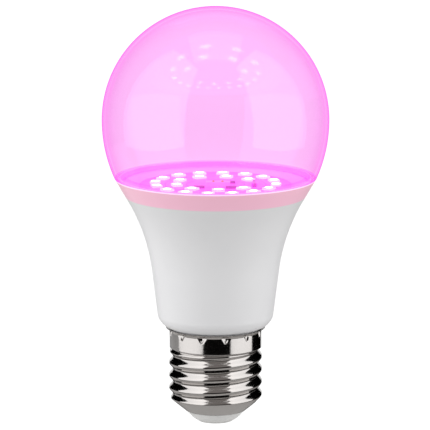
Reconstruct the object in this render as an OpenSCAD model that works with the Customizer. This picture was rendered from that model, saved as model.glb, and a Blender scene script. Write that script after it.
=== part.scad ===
// LED light bulb with a clear globe, a flared housing and an E27 screw cap.
// Origin: centre of the contact face at the bottom of the cap. +Z runs up through the globe.

/* [Globe] */
// Outer radius of the globe at its widest
globe_r = 31.9; // [31.5:0.1:32.2]
// Height of the globe's widest point above the contact
globe_z = 86.3; // [85.5:0.1:87]
// Radius of the arc that leads the globe down to the rim
globe_lower_r = 40.2; // [39:0.1:42]
// Wall of the globe
globe_wall = 1.1; // [0.9:0.1:1.3]

/* [Housing] */
// Height of the rim where globe and housing meet
rim_z = 70; // [69.8:0.1:70.3]
// Outer radius of the housing above its rounded foot
body_r = 16.4; // [16.3:0.1:16.6]
// Slope of the lower body from the vertical, in degrees
lower_angle = 7.1; // [6.8:0.1:7.4]
// Slope of the flare below the rim from the vertical, in degrees
upper_angle = 30.2; // [29.6:0.1:30.8]
// Radius of the curve between the two slopes
flare_r = 53.4; // [50:0.1:56]
// Wall of the plastic housing
housing_wall = 1.5; // [1.4:0.1:1.6]
// Height at which the aluminium cup ends inside the housing
cup_top_z = 64; // [63.8:0.1:64.2]
// Wall of the aluminium cup
cup_wall = 0.8; // [0.6:0.1:0.9]

/* [Light engine] */
// Height of the top face of the LED board
board_top_z = 67.9; // [67.7:0.1:68]
// Radius of the LED board
board_r = 21.4; // [21.2:0.1:21.8]
// Radius of the outer ring of LEDs
outer_ring_r = 17.1; // [16.5:0.1:17.5]
// Number of LEDs in the outer ring
outer_count = 16; // [14:1:16]
// Radius of the inner ring of LEDs
inner_ring_r = 11.2; // [11:0.1:11.5]
// Places in the inner ring, one of which the antenna takes
inner_places = 9; // [8:1:9]

/* [Screw cap] */
// Largest radius of the screw thread
thread_crest_r = 13.2; // [13.05:0.05:13.2]
// Smallest outer radius of the screw thread
thread_root_r = 12.1; // [12.05:0.05:12.15]
// Rise of the thread in one turn
thread_pitch = 3.629; // [3.6:0.001:3.65]
// Outer radius of the plain collar above the thread
collar_r = 13.05; // [12.95:0.05:13.05]
// Radial thickness of the rolled sheet
sheet = 0.35; // [0.3:0.05:0.35]
// Number of staking marks round the collar
stake_count = 12; // [12:12:24]
// Radius of the centre contact
contact_r = 5.2; // [4.6:0.1:5.2]

/* [Hidden] */
$fn = 96;
GAP = 0.1;

// ---- Outline of the flared body -------------------------------------------------------------
// A lower slope, an arc and an upper slope. Every wall inside follows it at its own distance.
rim_r = globe_r - globe_lower_r + sqrt(pow(globe_lower_r, 2) - pow(globe_z - rim_z, 2));
body_z = 31;
corner_z = (rim_r - body_r - tan(upper_angle) * rim_z + tan(lower_angle) * body_z)
    / (tan(lower_angle) - tan(upper_angle));
corner_r = body_r + tan(lower_angle) * (corner_z - body_z);
tangent = flare_r * tan((upper_angle - lower_angle) / 2);
arc_centre = [corner_r, corner_z] - tangent * [sin(lower_angle), cos(lower_angle)]
    + flare_r * [cos(lower_angle), -sin(lower_angle)];

// Radius at height z of a wall lying at some depth inside the housing's outside
function wall_r(z, depth) = let (r = flare_r + depth, rise = z - arc_centre[1])
    rise < r * sin(lower_angle) ? corner_r + tan(lower_angle) * (z - corner_z) - depth / cos(lower_angle) :
    rise > r * sin(upper_angle) ? corner_r + tan(upper_angle) * (z - corner_z) - depth / cos(upper_angle) :
    arc_centre[0] - sqrt(r * r - rise * rise);
function flare(depth, z0, z1, steps = 16) =
    [for (i = [0:steps]) let (z = z0 + (z1 - z0) * i / steps) [wall_r(z, depth), z]];
function reversed(list) = [for (i = [len(list) - 1:-1:0]) list[i]];

// A wall between two depths below the housing's outside, from height z0 to z1
module flared_wall(depth, thickness, z0, z1) {
    rotate_extrude()
        polygon(concat(flare(depth, z0, z1), reversed(flare(depth + thickness, z0, z1))));
}

// ---- Shared small shapes ----------------------------------------------------------------------
module ring(r_out, r_in, z0, z1) {
    rotate_extrude() translate([r_in, z0]) square([r_out - r_in, z1 - z0]);
}
module block(x, y, z) {
    translate([x[0], y[0], z[0]]) cube([x[1] - x[0], y[1] - y[0], z[1] - z[0]]);
}
module rod_y(x, z, r, y0, y1) {
    translate([x, y1, z]) rotate([90, 0, 0]) cylinder(r = r, h = y1 - y0);
}
// A closed grid of points, rings by sides, as faces: the tube's ends are closed by fans
function tube_faces(rings, sides) = concat(
    [for (i = [0:rings - 2], j = [0:sides - 1])
        let (next = (j + 1) % sides)
        [i * sides + j, i * sides + next, (i + 1) * sides + next, (i + 1) * sides + j]],
    [[for (j = [sides - 1:-1:0]) j]],
    [[for (j = [0:sides - 1]) (rings - 1) * sides + j]]);
function unit(v) = v / norm(v);
function along(path, i) = unit(path[min(i + 1, len(path) - 1)] - path[max(i - 1, 0)]);
// A wire: circles of radius r square to a path that stays clear of the X direction
module wire(path, r, sides = 8) {
    points = [for (i = [0:len(path) - 1], j = [0:sides - 1])
        let (t = along(path, i), u = unit(cross(t, [1, 0, 0])), v = cross(t, u), a = -360 * j / sides)
        path[i] + r * (cos(a) * u + sin(a) * v)];
    polyhedron(points, tube_faces(len(path), sides), convexity = 4);
}

// ---- Globe --------------------------------------------------------------------------------------
seat_r = wall_r(rim_z, housing_wall) - 0.15;
ledge_z = rim_z - 1.5;
module globe_section() {
    lower_x = globe_r - globe_lower_r;
    translate([0, globe_z]) intersection() {
        difference() {
            circle(globe_r);
            circle(globe_r - globe_wall);
        }
        square([globe_r + 1, globe_r + 1]);
    }
    intersection() {
        difference() {
            translate([lower_x, globe_z]) circle(globe_lower_r);
            translate([lower_x, globe_z]) circle(globe_lower_r - globe_wall);
        }
        translate([0, rim_z]) square([globe_r + 1, globe_z - rim_z]);
    }
}
module globe() {
    color("violet", 0.35) union() {
        rotate_extrude() globe_section();
        ring(rim_r - 0.3, seat_r - 1, rim_z, rim_z + 0.9);
        ring(seat_r, seat_r - 1, ledge_z + 0.2, rim_z + 0.9);
    }
}
module globe_adhesive() {
    color("whitesmoke") ring(seat_r, seat_r - 0.9, ledge_z, ledge_z + 0.2);
}

// ---- Housing, heat sink and sleeve ------------------------------------------------------------
lip_r = 13.4;
lip_z = 27.5;
floor_z = 30.5;
neck_r = 11.4;
neck_in_r = 9.8;
neck_z = 9.5;
neck_ring_r = collar_r - sheet - GAP;
neck_ring_z = 21.9;
stake_z = 25.8;
pcb_y = [-1.8, -0.2];
module housing_shell() {
    foot = [for (i = [0:8]) let (t = 90 * i / 8)
        [lip_r + (body_r - lip_r) * pow(sin(t), 1.25), body_z - (body_z - lip_z) * pow(cos(t), 1.25)]];
    groove = [[neck_ring_r, stake_z - 1.2], [neck_ring_r - 0.8, stake_z - 0.4],
        [neck_ring_r - 0.8, stake_z + 0.7], [neck_ring_r, stake_z + 1]];
    outside = concat(foot, flare(0, body_z + 0.2, rim_z - 0.35), [[rim_r - 0.35, rim_z]]);
    inside = concat([[seat_r + 0.1, rim_z], [seat_r + 0.1, ledge_z]],
        reversed(flare(housing_wall, floor_z, ledge_z)));
    bore = [[neck_in_r, floor_z], [neck_in_r, neck_z], [neck_r, neck_z], [neck_r, neck_ring_z],
        [neck_ring_r, neck_ring_z]];
    color("white") union() {
        rotate_extrude() polygon(concat(outside, inside, bore, groove, [[neck_ring_r, lip_z]]));
        for (side = [-1, 1], y = [pcb_y[0] - 1.1, pcb_y[1] + 0.1])
            intersection() {
                translate([side * 8.9, y + 0.5, 12 + 8]) cube([1.8, 1, 16], center = true);
                cylinder(r = neck_in_r + 0.3, h = 40);
            }
    }
}
module heat_sink_cup() {
    cup = housing_wall + GAP;
    color("silver") union() {
        flared_wall(cup, cup_wall, floor_z + GAP, cup_top_z);
        ring(wall_r(floor_z + 0.5, cup + 0.2), neck_in_r + 0.1, floor_z + GAP, floor_z + GAP + cup_wall);
    }
}
sleeve_depth = housing_wall + GAP + cup_wall + 0.2;
sleeve_z = floor_z + cup_wall + 0.3;
module driver_sleeve() {
    color("ivory") flared_wall(sleeve_depth, 0.6, sleeve_z, cup_top_z - 1);
}

// ---- Light engine -------------------------------------------------------------------------------
board_thickness = 1;
paste_thickness = 0.1;
carrier_top_z = board_top_z - board_thickness - paste_thickness;
carrier_sheet = 0.8;
carrier_r = board_r + 0.1;
pin_x = [-0.6, 1.94];
pin_y = -2.4;
pin_slot_x = [-2.2, 3.6];
pin_slot_y = [-3.3, -1.5];
antenna_x = [10.5, 11.3];
antenna_y = [-4.2, 1.8];
antenna_clear = 0.3;
module engine_slots() {
    z = [cup_top_z - 2, board_top_z + 1];
    block(pin_slot_x, pin_slot_y, z);
    block(antenna_x + [-1, 1] * antenna_clear, antenna_y + [-1, 1] * antenna_clear, z);
}
module led_carrier() {
    color("gainsboro") difference() {
        union() {
            ring(wall_r(cup_top_z, housing_wall) - 0.15, carrier_r - carrier_sheet,
                cup_top_z, cup_top_z + carrier_sheet);
            ring(carrier_r, carrier_r - carrier_sheet, cup_top_z, carrier_top_z);
            translate([0, 0, carrier_top_z - carrier_sheet]) cylinder(r = carrier_r, h = carrier_sheet);
        }
        engine_slots();
    }
}
module thermal_paste() {
    color("lightgray") difference() {
        translate([0, 0, carrier_top_z]) cylinder(r = board_r - 1, h = paste_thickness);
        engine_slots();
    }
}
module led_board() {
    color("violet") difference() {
        translate([0, 0, board_top_z - board_thickness]) cylinder(r = board_r, h = board_thickness);
        engine_slots();
    }
}
led_size = [2.8, 3.5, 0.7];
window_r = 1.15;
window_depth = 0.35;
lead_height = 0.08;
outer_phase = 83;
inner_phase = 154;
outer_angles = [for (i = [0:outer_count - 1]) outer_phase + 360 * i / outer_count];
inner_angles = [for (i = [0:inner_places - 2]) inner_phase - 360 * i / inner_places
    - (i > 3 ? 360 / inner_places : 0)];
module led_ring(angles, r, z) {
    for (a = angles) rotate([0, 0, a]) translate([r, 0, z]) children();
}
module led_package() {
    difference() {
        translate([-led_size[0] / 2, -led_size[1] / 2, 0])
            cube([led_size[0], led_size[1], led_size[2] - lead_height]);
        translate([0, 0, led_size[2] - lead_height - window_depth])
            cylinder(r1 = window_r - 0.15, r2 = window_r, h = window_depth + 0.01);
    }
}
module led_window() {
    cylinder(r1 = window_r - 0.17, r2 = window_r - 0.02, h = window_depth);
}
led_z = board_top_z + lead_height;
window_z = led_z + led_size[2] - lead_height - window_depth;
module outer_leds() {
    color("white") led_ring(outer_angles, outer_ring_r, led_z) led_package();
}
module outer_led_windows() {
    color("lavenderblush") led_ring(outer_angles, outer_ring_r, window_z) led_window();
}
module inner_leds() {
    color("white") led_ring(inner_angles, inner_ring_r, led_z) led_package();
}
module inner_led_windows() {
    color("lavenderblush") led_ring(inner_angles, inner_ring_r, window_z) led_window();
}
module lead_pair() {
    for (side = [-1, 1])
        translate([0, side * led_size[1] * 0.36, lead_height / 2])
            cube([led_size[0] * 0.8, led_size[1] * 0.34, lead_height], center = true);
}
module led_leads() {
    color("silver") union() {
        led_ring(outer_angles, outer_ring_r, board_top_z) lead_pair();
        led_ring(inner_angles, inner_ring_r, board_top_z) lead_pair();
    }
}
connector_z = [board_top_z, board_top_z + 1.3];
module board_connector() {
    color("white") difference() {
        block(pin_slot_x + [-0.5, 0.5], pin_slot_y + [-0.4, 0.4], connector_z);
        for (x = pin_x) block([x - 0.4, x + 0.4], [pin_y - 0.4, pin_y + 0.4], connector_z + [-1, 1]);
    }
}
module connector_pins() {
    color("gold") for (x = pin_x)
        block([x - 0.3, x + 0.3], [pin_y - 0.3, pin_y + 0.3], [56, connector_z[1] + 0.3]);
}
module board_resistors() {
    color("dimgray") for (place = [[-4.6, -5.6], [4.4, -6], [4, 2.4]])
        translate([place[0], place[1], board_top_z + 0.3]) cube([3.1, 1.6, 0.6], center = true);
}

// ---- Screw cap ------------------------------------------------------------------------------------
cone_r = 8.7;
cone_z = 3.3;
cone_slope = 1.2;
shell_sides = 48;
thread_rows = 6;
thread_low_z = 6.4;
thread_high_z = 20.6;
crest_z = 7.9;
flange_r = 14;
flange_z = 27.2;
function thread_r(a, z) = (thread_crest_r + thread_root_r) / 2
    + (thread_crest_r - thread_root_r) / 2 * cos(360 * (z - crest_z) / thread_pitch - a);
function smooth(t) = t < 0 ? 0 : t > 1 ? 1 : t * t * (3 - 2 * t);
// The thread fades into its root below the collar, and the tapered foot cuts its last turn
function threaded_r(a, z) = let (fade = smooth((thread_high_z + 0.9 - z) / 1.6))
    min(thread_root_r + (thread_r(a, z) - thread_root_r) * fade, cone_r + cone_slope * (z - cone_z));
thread_steps = ceil((thread_high_z - thread_low_z) / thread_pitch * thread_rows);
thread_heights = [for (i = [0:thread_steps])
    thread_low_z + (thread_high_z - thread_low_z) * i / thread_steps];
// Height, plain radius and staking depth of the rows above the thread
collar_rows = [[21.1, thread_root_r, 0], [21.6, collar_r, 0], [stake_z - 0.9, collar_r, 0],
    [stake_z, collar_r, 0.6], [stake_z + 0.5, collar_r, 0], [26.6, collar_r + 0.2, 0],
    [flange_z, flange_r, 0]];
function outside_rows(a, staked) = concat(
    [for (rise = [0, 1, 1.9, 2.4]) [cone_r + cone_slope * rise, cone_z + rise]],
    [for (z = thread_heights) [threaded_r(a, z), z]],
    [for (row = collar_rows) [row[1] - (staked ? row[2] : 0), row[0]]]);
function shell_profile(a, staked) = let (out = outside_rows(a, staked))
    concat(out, [for (p = reversed(out)) p - [sheet, 0]]);
module screw_shell() {
    stake_step = shell_sides / stake_count;
    columns = [for (i = [0:shell_sides - 1])
        shell_profile(360 * i / shell_sides, i % stake_step == floor(stake_step / 2))];
    rows = len(columns[0]);
    points = [for (i = [0:shell_sides - 1], p = columns[i])
        [p[0] * cos(360 * i / shell_sides), p[0] * sin(360 * i / shell_sides), p[1]]];
    faces = [for (i = [0:shell_sides - 1], j = [0:rows - 1])
        let (here = i * rows, next = (i + 1) % shell_sides * rows, up = (j + 1) % rows)
        each [[here + j, here + up, next + up], [here + j, next + up, next + j]]];
    color("silver") polyhedron(points, faces, convexity = 10);
}
stud_r = 1.2;
contact_height = 0.5;
insulator_hole_r = stud_r + 0.05;
module cap_insulator() {
    color("gainsboro") rotate_extrude() polygon([[insulator_hole_r, contact_height],
        [contact_r + 0.4, contact_height], [contact_r + 1.4, contact_height + 0.7],
        [cone_r - 0.9, cone_z - 0.8],
        [cone_r - 0.1, cone_z - 0.1], [cone_r - sheet - GAP, cone_z - 0.1],
        [cone_r - sheet - GAP, cone_z + 0.4], [cone_r + 0.3, cone_z + 1.1], [cone_r + 0.3, cone_z + 2],
        [insulator_hole_r, cone_z + 2]]);
}
module centre_contact() {
    color("lightgray") rotate_extrude() polygon([[0, 0], [contact_r - 0.4, 0], [contact_r - 0.12, 0.12],
        [contact_r, 0.4], [contact_r, contact_height], [stud_r, contact_height], [stud_r, 7], [0, 7]]);
}
wire_r = 0.6;
tail_z = 11;
live_x = 2.5;
neutral_x = -6.2;
module live_wire() {
    color("firebrick") wire([[0, 0, 7], [0, 0, 7.7], [0.2, -0.4, 8.5], [0.8, -1.3, 9.3], [1.6, -2.2, 10.1],
        [2.2, -2.7, 11], [live_x, -2.9, 12], [live_x, -2.9, 14.6]], wire_r);
}
module neutral_wire() {
    color("black") wire([[-8.6, -2.4, 7.6], [-8, -2.5, 8.2], [-7, -2.7, 8.8], [-6.2, -2.9, 9.6],
        [-5.8, -3, 10.6], [-6.1, -2.9, 11.8], [neutral_x, -2.9, 13], [neutral_x, -2.9, 14.6]], wire_r);
}
module neutral_solder() {
    color("silver") intersection() {
        translate([-9.9, -2.6, 6.2]) sphere(r = 1.3);
        translate([0, 0, cone_z]) cylinder(r1 = cone_r - sheet - 0.1, r2 = 11.6, h = 3.1);
        translate([-12, -6, 5.6]) cube([4, 8, 0.8]);
    }
}

// ---- Driver -----------------------------------------------------------------------------------------
pcb_front = pcb_y[0];
pcb_back = pcb_y[1];
pcb_top_z = 61.5;
tail_half = 8.9;
body_half = 12;
head_half = 9.4;
lead_r = 0.3;
bulk = [-3, -7.75, 34.5];
bulk_size = [5, 15];
output = [-6, -6.1, 50.8];
output_size = [4, 10];
choke = [7.8, -5.6, 38];
fuse = [-3.6, -4.3, 19.5];
// Leads that cross the board: x, z, the end in front and the end behind
lead_drop = 0.85;
front_crossings = [
    for (cap = [bulk, output], side = [-1.2, 1.2]) [cap[0] + side, cap[2] - lead_drop, cap[1], 0.7],
    [choke[0] - 2, 38, -3.2, 0.7], [choke[0] + 2, 38, -3.2, 0.7],
    [3.6, 51, -2.5, 0.7], [8.4, 51, -2.5, 0.7],
    [fuse[0], 14, fuse[1], 0.7], [fuse[0], 25, fuse[1], 0.7],
    [live_x, 14.9, -2.9, 0.7], [neutral_x, 14.9, -2.9, 0.7]];
back_crossings = [[-1.6, 23.8, -2.5, 1.7], [3.4, 23.8, -2.5, 1.7],
    for (x = [-4.5, 4.5], z = [38.55, 46.45]) [x, z, -2.5, 0.9]];
crossings = concat(front_crossings, back_crossings);
module driver_board() {
    color("seagreen") difference() {
        union() {
            block([-tail_half, tail_half], pcb_y, [tail_z, 33]);
            block([-body_half, body_half], pcb_y, [32.6, 44.5]);
            block([-head_half, head_half], pcb_y, [44, pcb_top_z]);
        }
        for (lead = crossings) rod_y(lead[0], lead[1], lead_r + 0.1, pcb_front - 1, pcb_back + 1);
    }
}
module component_leads() {
    color("silver") union() {
        for (lead = crossings) rod_y(lead[0], lead[1], lead_r, lead[2], lead[3]);
        for (cap = [bulk, output], side = [-1.2, 1.2])
            translate(cap + [side, 0, -lead_drop]) cylinder(r = lead_r, h = lead_drop + 0.2);
        translate([fuse[0], fuse[1], 14]) cylinder(r = lead_r, h = 1);
        translate([fuse[0], fuse[1], 24]) cylinder(r = lead_r, h = 1);
    }
}
module solder_cone(x, z, behind) {
    y = behind ? pcb_back : pcb_front;
    translate([x, y, z]) rotate([behind ? -90 : 90, 0, 0]) difference() {
        cylinder(r1 = 0.85, r2 = 0.4, h = 0.5);
        translate([0, 0, -1]) cylinder(r = lead_r + 0.01, h = 3);
    }
}
module solder_joints() {
    color("lightgray") union() {
        for (lead = front_crossings) solder_cone(lead[0], lead[1], true);
        for (lead = back_crossings) solder_cone(lead[0], lead[1], false);
    }
}
// An electrolytic capacitor on end: aluminium can, shrunk sleeve and rubber seal
module capacitor_can(place, size) {
    translate(place + [0, 0, 1]) cylinder(r = size[0] - 0.2, h = size[1] - 1.15);
}
module capacitor_sleeve(place, size) {
    translate(place) rotate_extrude() polygon([[size[0] - 0.7, 0], [size[0], 0], [size[0], size[1]],
        [size[0] - 1.6, size[1]], [size[0] - 1.6, size[1] - 0.15], [size[0] - 0.2, size[1] - 0.15],
        [size[0] - 0.2, 0.15], [size[0] - 0.7, 0.15]]);
}
module capacitor_seal(place, size) {
    translate(place + [0, 0, 0.2]) cylinder(r = size[0] - 0.8, h = 0.8);
}
module bulk_capacitor_can() { color("silver") capacitor_can(bulk, bulk_size); }
module bulk_capacitor_sleeve() { color("darkgreen") capacitor_sleeve(bulk, bulk_size); }
module bulk_capacitor_seal() { color("black") capacitor_seal(bulk, bulk_size); }
module output_capacitor_can() { color("silver") capacitor_can(output, output_size); }
module output_capacitor_sleeve() { color("navy") capacitor_sleeve(output, output_size); }
module output_capacitor_seal() { color("black") capacitor_seal(output, output_size); }
module fuse_resistor() {
    color("darkseagreen") translate(fuse - [0, 0, 4.5]) rotate_extrude() polygon([[0, 0], [1.6, 0],
        [2.1, 0.5], [2.1, 1.9], [1.8, 2.4], [1.8, 6.6], [2.1, 7.1], [2.1, 8.5], [1.6, 9], [0, 9]]);
}
module surge_absorber() {
    color("royalblue") translate([0.9, 1.7, 19.9]) rotate([-90, 0, 0]) rotate_extrude()
        polygon([[0, 0], [3.5, 0], [4, 0.5], [4, 2.6], [3.5, 3.1], [0, 3.1]]);
}
module film_capacitor() {
    color("indianred") block([2.7, 10.3], [-7.2, -2.5], [49.4, 57.4]);
}
module rectifier() {
    color("dimgray") block([-2.4, 2.4], [0.1, 1.5], [27.6, 31.4]);
}
module control_chip() {
    color("dimgray") block([-2.5, 2.5], [0.15, 1.6], [52.6, 56.4]);
}
// Gull-wing leads as flat feet at both sides of the two chips
module chip_leads() {
    color("silver") union() {
        for (i = [0:3], side = [-1, 1])
            translate([-1.9 + 1.27 * i, pcb_back + 0.125, 54.5 + side * 2.5])
                cube([0.42, 0.25, 1.2], center = true);
        for (x = [-1.6, 1.6], side = [-1, 1])
            translate([x, pcb_back + 0.125, 29.5 + side * 2.5]) cube([0.6, 0.25, 1.2], center = true);
    }
}
module driver_chip_parts() {
    color("black") for (place = [[-6, 52.4], [-6, 54.6], [-6, 56.8], [6, 52.4], [6, 54.6], [6, 56.8],
        [-6.4, 20], [-6.4, 23], [-6.4, 26], [6, 27],
        [9.4, 34.6], [9.4, 41.6], [-9.4, 34.6], [-9.4, 41.6]])
        translate([place[0], pcb_back + 0.275, place[1]]) cube([2, 0.55, 1.25], center = true);
}
module choke_core() {
    color("darkslategray") translate(choke - [0, 2.4, 0]) rotate([-90, 0, 0]) rotate_extrude()
        polygon([[0, 0], [3, 0], [3, 0.9], [1.3, 0.9], [1.3, 3.9], [3, 3.9], [3, 4.8], [0, 4.8]]);
}
module choke_winding() {
    color("chocolate") translate(choke - [0, 2.4, 0]) rotate([-90, 0, 0]) ring(2.7, 1.35, 0.95, 3.85);
}
// The transformer stands behind the board: two E cores round the bobbin, with the winding and its tape
tr = [0, 6.2, 42.5];
module transformer_core() {
    color("darkslategray") difference() {
        translate(tr) cube([14.4, 6, 12.6], center = true);
        for (side = [-1, 1])
            translate(tr + [side * 3.55, 0, 0]) cube([3.3, 7, 8.8], center = true);
    }
}
module transformer_bobbin() {
    color("black") difference() {
        union() {
            for (side = [-1, 1])
                translate(tr + [0, 0, side * 3.95]) cube([10.1, 10.6, 0.8], center = true);
            translate(tr) cube([4.6, 6.8, 8], center = true);
        }
        translate(tr) cube([3.9, 6.1, 20], center = true);
        for (side = [-1, 1])
            translate(tr + [side * 9, 0, 0]) cube([8, 6.1, 20], center = true);
    }
}
module wound_band(inner, outer, height) {
    translate(tr) difference() {
        cube([outer[0], outer[1], height], center = true);
        cube([inner[0], inner[1], height + 1], center = true);
    }
}
module transformer_winding() {
    color("chocolate") wound_band([4.7, 6.9], [7.4, 9.4], 7);
}
module transformer_tape() {
    color("gold") wound_band([7.5, 9.5], [8.1, 10.1], 6.6);
}

// ---- Radio module ----------------------------------------------------------------------------------------
radio_z = [47, 60.5];
module radio_board() {
    color("darkgreen") union() {
        block(antenna_x, [-6, 6], radio_z);
        block(antenna_x, antenna_y, [60, board_top_z + 1.1]);
    }
}
module radio_shield() {
    color("lightgray") difference() {
        block([antenna_x[1], 13.2], [-4.6, 4.6], [48.5, 58.5]);
        block([antenna_x[1] - 1, 13], [-4.4, 4.4], [48.7, 58.3]);
    }
}
module radio_pins() {
    color("gold") for (i = [0:3])
        block([head_half - 2, antenna_x[0]], [pcb_front - 0.5, pcb_front], [48 + 2.2 * i, 48.5 + 2.2 * i]);
}
module antenna_trace() {
    x = [antenna_x[1], antenna_x[1] + 0.1];
    antenna_top = board_top_z + 0.5;
    color("peru") union() {
        for (i = [0:4]) block(x, [-3.6 + i, -3.3 + i], [61.4, antenna_top]);
        for (i = [0:1]) block(x, [-3.6 + 2 * i, -2.3 + 2 * i], [antenna_top, antenna_top + 0.3]);
        for (i = [0:1]) block(x, [-2.6 + 2 * i, -1.3 + 2 * i], [61.1, 61.4]);
    }
}

globe();
globe_adhesive();
housing_shell();
heat_sink_cup();
driver_sleeve();
led_carrier();
thermal_paste();
led_board();
outer_leds();
outer_led_windows();
inner_leds();
inner_led_windows();
led_leads();
board_connector();
connector_pins();
board_resistors();
screw_shell();
cap_insulator();
centre_contact();
live_wire();
neutral_wire();
neutral_solder();
driver_board();
fuse_resistor();
surge_absorber();
film_capacitor();
bulk_capacitor_can();
bulk_capacitor_sleeve();
bulk_capacitor_seal();
output_capacitor_can();
output_capacitor_sleeve();
output_capacitor_seal();
rectifier();
control_chip();
chip_leads();
driver_chip_parts();
choke_core();
choke_winding();
transformer_core();
transformer_bobbin();
transformer_winding();
transformer_tape();
component_leads();
solder_joints();
radio_board();
radio_shield();
radio_pins();
antenna_trace();
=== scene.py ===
# %% [markdown]
# # A lit LED bulb with a clear globe
# The bulb is a real assembly: a globe, a flared housing, a plated screw cap, and everything sealed inside.
# The engineering model gives every piece its place and size. This script gives the pieces their looks.
# The first step loads that model.

# %% Load the frame
import math
import bpy
import numpy as np
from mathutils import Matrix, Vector


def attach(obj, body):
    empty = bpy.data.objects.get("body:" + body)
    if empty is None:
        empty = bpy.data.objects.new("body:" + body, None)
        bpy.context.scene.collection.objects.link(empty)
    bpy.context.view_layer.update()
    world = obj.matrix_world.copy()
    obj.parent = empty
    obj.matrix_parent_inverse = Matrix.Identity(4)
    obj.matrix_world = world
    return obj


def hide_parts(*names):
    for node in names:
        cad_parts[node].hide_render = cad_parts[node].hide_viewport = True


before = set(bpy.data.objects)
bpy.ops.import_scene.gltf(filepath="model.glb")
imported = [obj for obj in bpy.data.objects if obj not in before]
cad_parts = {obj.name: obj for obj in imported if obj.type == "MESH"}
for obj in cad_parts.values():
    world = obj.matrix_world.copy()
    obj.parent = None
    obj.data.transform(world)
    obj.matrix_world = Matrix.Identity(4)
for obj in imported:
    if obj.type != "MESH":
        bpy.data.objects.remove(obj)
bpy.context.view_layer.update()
MM = 0.001

# %% [markdown]
# ## The camera
# A product shot of a small object is taken with a long lens from about a metre away, a little above its
# middle. That keeps the sides of the bulb parallel and shows a slice of the LED board through the globe.

# %% Camera
AIM = Vector((-0.15 * MM, 0, 59.2 * MM))
DISTANCE = 1.0
ELEVATION = math.radians(10.4)
FRAME_WIDTH = 121.1 * MM
camera_data = bpy.data.cameras.new("camera")
camera = bpy.data.objects.new("camera", camera_data)
bpy.context.scene.collection.objects.link(camera)
camera.location = AIM + DISTANCE * Vector((0, -math.cos(ELEVATION), math.sin(ELEVATION)))
camera.rotation_euler = (math.pi / 2 - ELEVATION, 0, 0)
camera_data.sensor_width = 36
camera_data.lens = 36 * DISTANCE / FRAME_WIDTH
camera_data.clip_start = 0.01
bpy.context.scene.camera = camera
print("lens, mm:", round(camera_data.lens, 1))

# %% [markdown]
# ## Surfaces from formulas
# Nearly every piece of a bulb is turned, so it is a profile carried round the axis. A mesh is then a grid:
# rows along the profile, columns round the axis. One helper turns any such grid of points into a mesh.
# Rows or columns can wrap round, and an end row that shrinks to a point becomes one shared vertex.

# %% From a grid to a mesh
def add_piece(name, points, faces, material, replaces=(), sharp=35):
    """Makes an object from points in millimetres and faces, and hands it to the frame."""
    mesh = bpy.data.meshes.new(name)
    mesh.from_pydata((np.asarray(points) * MM).tolist(), [], [list(f) for f in faces])
    mesh.validate()
    mesh.polygons.foreach_set("use_smooth", np.ones(len(mesh.polygons), bool))
    mesh.set_sharp_from_angle(angle=math.radians(sharp))
    mesh.materials.append(material)
    piece = bpy.data.objects.new(name, mesh)
    bpy.context.scene.collection.objects.link(piece)
    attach(piece, "root")
    if replaces:
        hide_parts(*replaces)
    size = np.ptp(np.asarray(points), axis=0)
    print(f"{name}: {len(mesh.polygons)} faces, {size[0]:.1f} x {size[1]:.1f} x {size[2]:.1f} mm")
    return piece


def mark_points(piece, name, values):
    """Keeps a number with every point of a piece, for its finish to read."""
    attribute = piece.data.attributes.new(name, "FLOAT", "POINT")
    attribute.data.foreach_set("value", np.asarray(values, np.float32))


def grid_faces(rows, columns, wrap_rows=False):
    """Quads between neighbouring rows; the columns always wrap. Row r, column c is point r * columns + c."""
    r = np.arange(rows if wrap_rows else rows - 1)[:, None]
    c = np.arange(columns)[None, :]
    up, next_column = (r + 1) % rows, (c + 1) % columns
    corners = (r * columns + c, r * columns + next_column, up * columns + next_column, up * columns + c)
    return np.stack(np.broadcast_arrays(*corners), axis=-1).reshape(-1, 4)


def closed_grid(points, wrap_rows):
    """Points and faces of a grid of rows by columns. Where an end row is one repeated point, its quads
    become triangles on a single vertex."""
    rows, columns = points.shape[:2]
    flat = points.reshape(-1, 3)
    faces = grid_faces(rows, columns, wrap_rows)
    if wrap_rows:
        return flat, faces.tolist()
    merged = np.arange(rows * columns)
    for start in (0, (rows - 1) * columns):
        ring = slice(start, start + columns)
        if np.ptp(flat[ring], axis=0).max() < 1e-6:
            merged[ring] = start
    faces = merged[faces]
    kept = [[v for i, v in enumerate(face) if v != face[i - 1]] for face in faces.tolist()]
    used = np.unique(merged)
    place = np.zeros(rows * columns, int)
    place[used] = np.arange(len(used))
    return flat[used], [[int(place[v]) for v in face] for face in kept]


def turned(profile, sides=192):
    """Carries a profile of (radius, height) points round the axis. Its point at angle a is
    (radius cos a, radius sin a, height). A profile that starts and ends on the axis is closed by poles,
    and any other profile is a loop round a wall."""
    profile = np.asarray(profile, float)
    a = np.linspace(0, 2 * np.pi, sides, endpoint=False)
    points = np.stack([profile[:, :1] * np.cos(a), profile[:, :1] * np.sin(a),
        np.repeat(profile[:, 1:], sides, axis=1)], axis=-1)
    return closed_grid(points, wrap_rows=profile[0, 0] > 1e-6)


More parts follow.
